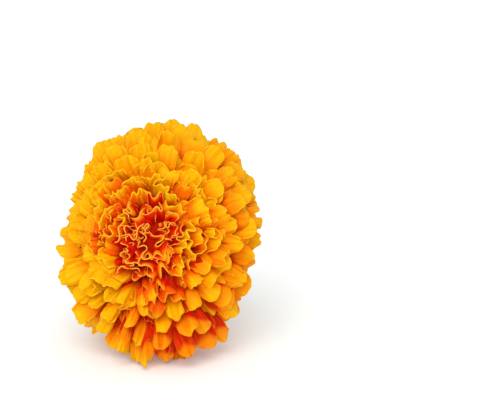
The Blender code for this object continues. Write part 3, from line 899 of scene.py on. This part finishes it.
def packedClaws():
    phi = np.linspace(0, math.tau, claws["around"], endpoint=False)[None, :]
    theta = np.linspace(0.02, math.pi - 0.02, claws["along"])[:, None]
    ridge = np.sin(claws["ridgesRound"] * phi) * np.sin(claws["ridgesAlong"] * theta)
    size = claws["share"] * (1 + claws["ridge"] * ridge * np.sin(theta))
    radius = outlineRadius(phi) * head["coreShare"] * np.sin(theta) * size
    depth = np.where(theta < math.pi / 2, head["coreFront"], head["coreBack"]) * np.cos(theta) * size
    crown = claws["crownHeight"] * np.exp(-(radius / claws["crownRadius"]) ** 4) * (depth > 0)
    points = np.stack([radius * np.cos(phi), radius * np.sin(phi), depth + crown], axis=2)
    start, run = claws["behind"]
    fromTip = [length + change * ridge for length, change in claws["fromTip"]]
    marks = {"fromTip": mix(*fromTip, smooth((theta - start) / run)), "fromEdge": 3,
             "across": np.sin(claws["ridgesRound"] * phi), "tone": 0, "redAndShade": 1}
    roundPiece("packedClaws", points, marks, innerPaint, "outer_petals")


packedClaws()

# The ruffled florets of the centre

centre = {
    "seed": 9,
    "firstAngle": 2 * degree,
    "lastAngle": 22.5 * degree,
    "spacing": 4.0 * mm,
    "fullness": 1.25,
    "halfWidths": (2.9, 2.2),  # mm, in the middle and at the edge of the centre
    "claw": 0.4,
    "alike": {"start": 0.3, "limbStart": 0.5, "pleat": 0.0, "pleatCount": 3.0, "redAndShade": 1.0},
    "extra": 24,  # small florets that fill the middle
    "extraAngle": 15 * degree,
    "extraReach": (0.88, 0.96),
    "extraTurn": 2.0,
    "extraWidth": 0.7,
    "detailSeed": 5,
    "firstDraws": {"phi": (-0.3, 0.3), "halfWidth": (0.9, 1.1)},
    "idleDraws": (0, 0, 2, 0, 0, 0),
    "lastDraws": {"cup": (-0.2, 0.3), "twist": (-40, 40), "drift": (-0.8, 0.8), "lean": (-4, 8),
                  "reach": (0.92, 1.0)},
    "draws": {
        "round": (0.15, 0.5), "notch": (-0.5, 1.0), "notchPlace": (-0.4, 0.4), "tipWave": (0.1, 0.5),
        "tipWaveCount": (1.0, 2.2), "taper": (-0.1, 0.1), "fold": (0.95, 1.4), "foldCount": (0.9, 1.7),
        "foldPhase": (0, math.tau), "foldRise": (0.8, 1.6), "pleatPhase": (0, math.tau),
        "ruffle": (0.1, 0.3), "ruffleCount": (1.0, 2.0), "ruffleRun": (2, 5),
        "rufflePhase": (0, math.tau), "roll": (-30, 110), "rollSpread": (-0.9, 0.9),
        "rollFrom": (0.5, 0.72), "tone": (-1, 1),
    },
    "wider": (-50, 80, 0.15),  # direction, spread and by how much
    "rolled": (-40, 90, 80),
    "toneSides": ((-45, 90, -0.9), (155, 60, 0.9), (100, 60, -1.2)),
    "toneShift": 0.4,
    "thickness": 0.3 * mm,
    "grid": (30, 24),
    "look": {
        # the centre's dark crimson middle and root colours are partly the florets' own colour, partly painted
        # shade of their deep folds
        "colour": {
            "Tip Colour": (0.97, 0.40, 0.002), "Middle Colour": (0.69, 0.017, 0.0),
            "Root And Shade Colour": (0.53, 0.002, 0.001), "Margin Colour": (1.0, 0.45, 0.04),
            "Tip Length": 2.7, "Middle Length": 5.2,
            "Margin Width": 0.56, "Margin Strength": 0.85, "Tone Strength": 0.2,
        },
        "relief": {"Vein Height": 0.4, "Cell Height": 0.25, "Roughness": 0.5},
        "bumpStrength": 0.35,
        "bumpDistance": 0.15 * mm,
        # painted glow, as on the outer petals: a small emission that lifts the shade
        "shader": {**outer["look"]["shader"], "Emission Strength": 0.035},
    },
}


def centreRule(index, theta, chance):
    rule = floretRule(index, chance, centre)
    share = theta / outer["firstAngle"]
    rule["halfWidth"] = mix(*centre["halfWidths"], share) * mm * rule["halfWidth"]
    rule["twist"] = rule["twist"] * degree
    rule["lean"] = (rule["lean"] + 14 * share) * degree
    return rule


def centreDetail(rule, theta, chance):
    rule["twist"] += chance.uniform(-35, 35) * degree
    rule["reach"] *= chance.uniform(0.96, 1.03)
    *side, wider = centre["wider"]
    rule["halfWidth"] *= centre["fullness"] * (1 + wider * nearSide(rule["phi"], *side))
    rule.update(drawn(chance, centre["draws"]))
    rule["notch"] = max(0.0, rule["notch"])
    for name in ("notch", "tipWave", "ruffle"):
        rule[name] *= mm
    *side, rolled = centre["rolled"]
    rule["roll"] = (rule["roll"] + rolled * nearSide(rule["phi"], *side)) * degree
    rule["tone"] += centre["toneShift"]
    rule["tone"] += sum(tone * nearSide(rule["phi"], *side) for *side, tone in centre["toneSides"])
    rule.update(centre["alike"])
    rule["spine"] = petalSpine(theta, rule)
    return rule


def centreRules():
    chance = random.Random(centre["seed"])
    detail = random.Random(centre["detailSeed"])
    angles = spiralAngles(centre["firstAngle"], centre["lastAngle"], lambda theta: centre["spacing"])
    rules = [centreDetail(centreRule(index, theta, chance), theta, detail)
             for index, theta in enumerate(angles)]
    for index in range(centre["extra"]):
        theta = centre["extraAngle"] * math.sqrt((index + 0.5) / centre["extra"])
        rule = centreRule(index, theta, detail)
        rule["phi"] += centre["extraTurn"]
        rule["reach"] = detail.uniform(*centre["extraReach"])
        rule["halfWidth"] *= centre["extraWidth"]
        rules.append(centreDetail(rule, theta, detail))
    return rules


petalPiece("centreRuffle", centreRules(), centre["grid"], centre["thickness"],
           petalMaterial("centreRedOrange", centre["look"]), "centre_florets")

# The green cup of fused bracts and the cut stub of stalk

cup = {
    "bracts": 9,
    "rim": -13.8 * mm,  # on the head's axis, minus is behind its centre
    "toothLength": 3.6 * mm,
    "toothThickness": 0.45 * mm,
    "toothPoint": 0.75,  # 0 is a plain wave, 1 a sharp point
    "toothSpread": 0.25 * mm,
    "dish": -18.3 * mm,
    "dishRadius": 7.7 * mm,
    # radius and how far behind the rim
    "outline": ((8.8, 0), (9.2, 3.5), (9.1, 7.5), (8.2, 11.5), (6.3, 15), (4.4, 17),
                (3.3, 19.5), (2.6, 22.5), (2.5, 25.2)),
    "outlineSteps": 7,
    "rimDepth": 6.0 * mm,
    "insideRows": 14,
    "lip": 0.15 * mm,
    "midrib": 0.22 * mm,
    "seamDepth": 0.35 * mm,
    "seamWidth": 0.13,
    "veins": 7,  # fine veins on each bract
    "veinHeight": 0.05 * mm,
    "stalkRidges": 8,
    "stalkRidgeHeight": 0.14 * mm,
    "cutRings": (0.97, 0.9, 0.75, 0.55, 0.35, 0.12),
    "cutEdge": 0.25 * mm,
    "cutDepth": 0.35 * mm,  # the pith sinks a little in the cut end
    "around": 252,
    "look": {
        "green": (0.105, 0.20, 0.022),
        "pale": (0.30, 0.40, 0.07),
        "tip": (0.20, 0.10, 0.03),
        "stalk": (0.20, 0.33, 0.06),
        "cut": (0.62, 0.66, 0.34),
        "gland": (0.05, 0.075, 0.01),
        "roughness": (0.25, 0.38),
        "bumpStrength": 0.5,
        "bumpDistance": 0.12 * mm,
        "shader": {"Specular IOR Level": 0.3},
        "cloudScale": 420.0,
        "mottle": (0.9, -0.2),
        "midribWidth": 0.35,
        "midribStrength": 0.45,
        "stalkFrom": (13.0, 19.0),  # mm behind the rim
        "tipLength": (0.9, 2.6),
        "tipStrength": 0.7,
        "glandScale": 620.0,
        "glandSize": (0.16, 0.30),
        "glandStrength": 0.6,
        "streaks": 44.0,
        "streakHeight": 0.3,
    },
}


def smoothLine(corners, steps):  # a curve through points, steps of it between each two
    corners = np.array(corners, dtype=float)
    before = np.vstack((2 * corners[:1] - corners[1:2], corners, 2 * corners[-1:] - corners[-2:-1]))
    line = []
    for place in range(len(corners) - 1):
        a, b, c, d = before[place:place + 4]
        for share in np.arange(steps) / steps:
            line.append(0.5 * (2 * b + (c - a) * share + (2 * a - 5 * b + 4 * c - d) * share ** 2
                               + (3 * b - a - 3 * c + d) * share ** 3))
    return np.array(line + [corners[-1]])


def cornersOf(radius, axis, rib, behind, cut):  # each corner's place and its marks
    return np.stack(np.broadcast_arrays(radius, axis, rib, behind, cut), axis=2)


def cupSurface():
    outline = smoothLine(cup["outline"], cup["outlineSteps"]) * mm
    angle = np.linspace(0, math.tau, cup["around"], endpoint=False)[None, :]
    turn = cup["bracts"] * angle / math.tau
    fromRib = np.abs(turn - np.round(turn)) * 2  # 0 at a bract's midrib, 1 at its seams
    tooth = mix((1 + np.cos(math.pi * fromRib)) / 2, (1 - fromRib) ** 1.15, cup["toothPoint"])
    radius, behind = outline[:, :1], outline[:, 1:]
    down = smooth(behind / outline[-1, 1] * 1.5)  # 0 at the rim, 1 on the stalk
    nearRim = 1 - smooth(behind / cup["rimDepth"])
    rib = cup["midrib"] * (1 - fromRib) ** 2
    seam = cup["seamDepth"] * np.exp(-((fromRib - 1) / cup["seamWidth"]) ** 2)
    vein = cup["veinHeight"] * np.cos(cup["veins"] * math.pi * fromRib)
    ridge = cup["stalkRidgeHeight"] * np.cos(cup["stalkRidges"] * angle)
    relief = (rib - seam + vein) * (1 - down) + ridge * down
    relief = relief + cup["toothSpread"] * nearRim * tooth
    lift = cup["toothLength"] * tooth * nearRim ** 1.5
    outside = cornersOf(radius + relief, cup["rim"] - behind + lift, fromRib, behind / mm, 0)
    share = np.linspace(0, 1, cup["insideRows"])[:, None]  # from the dish to the rim
    wall = outside[:1, :, 0] - cup["toothThickness"]
    inside = cornersOf(mix(cup["dishRadius"], wall, share ** 1.5),
                       mix(cup["dish"], outside[:1, :, 1] - cup["lip"], share), fromRib, 0, 0)
    ring = np.linspace(0.08, 0.94, 5)[:, None]
    bottom = cornersOf(cup["dishRadius"] * ring, cup["dish"], fromRib, 0, 0)
    last = outside[-1]
    ring = np.array(cup["cutRings"])[:, None]
    sunk = cup["cutDepth"] * smooth((0.9 - ring) / 0.5)
    cut = cornersOf(last[:, 0] * ring, last[:, 1] - cup["cutEdge"] + sunk, fromRib, last[:, 3], 1)
    return angle, np.concatenate((bottom, inside, outside, cut))


def greenCup():
    angle, rows = cupSurface()
    radius = rows[..., 0]
    points = np.stack([radius * np.cos(angle), radius * np.sin(angle), rows[..., 1]], axis=2)
    marks = {"fromRib": rows[..., 2], "behindRim": rows[..., 3], "cutFace": rows[..., 4]}
    roundPiece("greenCup", points, marks, cupMaterial(cup["look"]),
               "involucre_and_stalk")


def cupMaterial(look):
    paint, shader = newPaint("involucreGreen")
    tree = paint.node_tree
    fromRib = readMark(tree, "fromRib")
    behind = readMark(tree, "behindRim")
    place = placeOn(tree)
    cloud = noiseShare(place, look["cloudScale"], 4.0)
    midrib = oneMinus(rampShare(fromRib, 0.0, look["midribWidth"]))
    midrib = times(midrib, look["midribStrength"])
    stalk = rampShare(behind, *look["stalkFrom"])
    toothTip = oneMinus(rampShare(scaled(cloud, 2.0, behind), *look["tipLength"]))
    toothTip = times(toothTip, look["tipStrength"])
    # oil glands: dark spots that stand out from the cup
    gland = oneMinus(rampShare(cellDistance(place, look["glandScale"]), *look["glandSize"]))
    gland = times(gland, oneMinus(stalk))
    colour = look["green"]
    for share, name in ((scaled(cloud, *look["mottle"]), "pale"), (midrib, "pale"), (stalk, "stalk"),
                        (toothTip, "tip"), (times(gland, look["glandStrength"]), "gland"),
                        (readMark(tree, "cutFace"), "cut")):
        colour = mixColour(share, colour, look[name])
    streak = mathNode("SINE", times(fromRib, look["streaks"]))
    height = mathNode("ADD", scaled(streak, look["streakHeight"], gland), cloud)
    addBump(shader, height, look)
    feedAll(shader, {"Base Color": colour, "Roughness": scaled(cloud, *look["roughness"]), **look["shader"]})
    return paint


greenCup()

# Camera, light and floor

shot = {
    "aim": Vector((30.2, -5.2, 50.2)) * mm,
    "elevation": 18 * degree,
    "distance": 0.80,
    "frameWidth": 500 * 0.328 * mm,  # the picture's pixels by what one of them spans
    "sensor": 36.0,
}
camera = newPiece("camera", bpy.data.cameras.new("camera"))
back = Vector((0, -math.cos(shot["elevation"]), math.sin(shot["elevation"])))
camera.location = shot["aim"] + back * shot["distance"]
camera.rotation_mode = "QUATERNION"
camera.rotation_quaternion = (-back).to_track_quat("-Z", "Y")
camera.data.sensor_width = shot["sensor"]
camera.data.lens = shot["sensor"] * shot["distance"] / shot["frameWidth"]
scene.camera = camera

light = {
    "keyFrom": Vector((-0.16, -0.75, 0.82)),
    "keySpread": 50 * degree,
    "keyStrength": 1.74,
    "sky": 0.65,
}
keyLight = newPiece("keyLight", bpy.data.lights.new("keyLight", "SUN"))
keyLight.data.angle = light["keySpread"]
keyLight.data.energy = light["keyStrength"]
keyLight.rotation_mode = "QUATERNION"
keyLight.rotation_quaternion = light["keyFrom"].to_track_quat("Z", "Y")

world = bpy.data.worlds.new("studio")
world.use_nodes = True
sky = world.node_tree
lit = sky.nodes["Background"]
feedAll(lit, {"Color": (1, 1, 1), "Strength": light["sky"]})
seen = addNode(sky, "ShaderNodeBackground")  # what the camera sees past the floor
feed((1, 1, 1), seen.inputs["Color"])
either = addNode(sky, "ShaderNodeMixShader")
sources = (addNode(sky, "ShaderNodeLightPath").outputs["Is Camera Ray"], lit.outputs[0], seen.outputs[0])
for source, socket in zip(sources, either.inputs):
    feed(source, socket)
feed(either.outputs[0], sky.nodes["World Output"].inputs["Surface"])
scene.world = world
scene.view_settings.view_transform = "Standard"

ground = {
    "reach": 3.0,
    "look": {"Base Color": (0.965, 0.975, 0.97), "Roughness": 0.7,
             "Emission Color": (0.78, 1, 0.93), "Emission Strength": 0.14},
}
floorMesh = bpy.data.meshes.new("floor")
reach = ground["reach"]
floorMesh.from_pydata([(-reach, -reach, 0), (reach, -reach, 0), (reach, reach, 0), (-reach, reach, 0)],
                      [], [(0, 1, 2, 3)])
floor = newPiece("floor", floorMesh)
floorPaint, floorShader = newPaint("floorWhite")
feedAll(floorShader, ground["look"])
floorMesh.materials.append(floorPaint)
floor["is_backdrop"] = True
print("camera, light and floor set")

low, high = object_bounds()
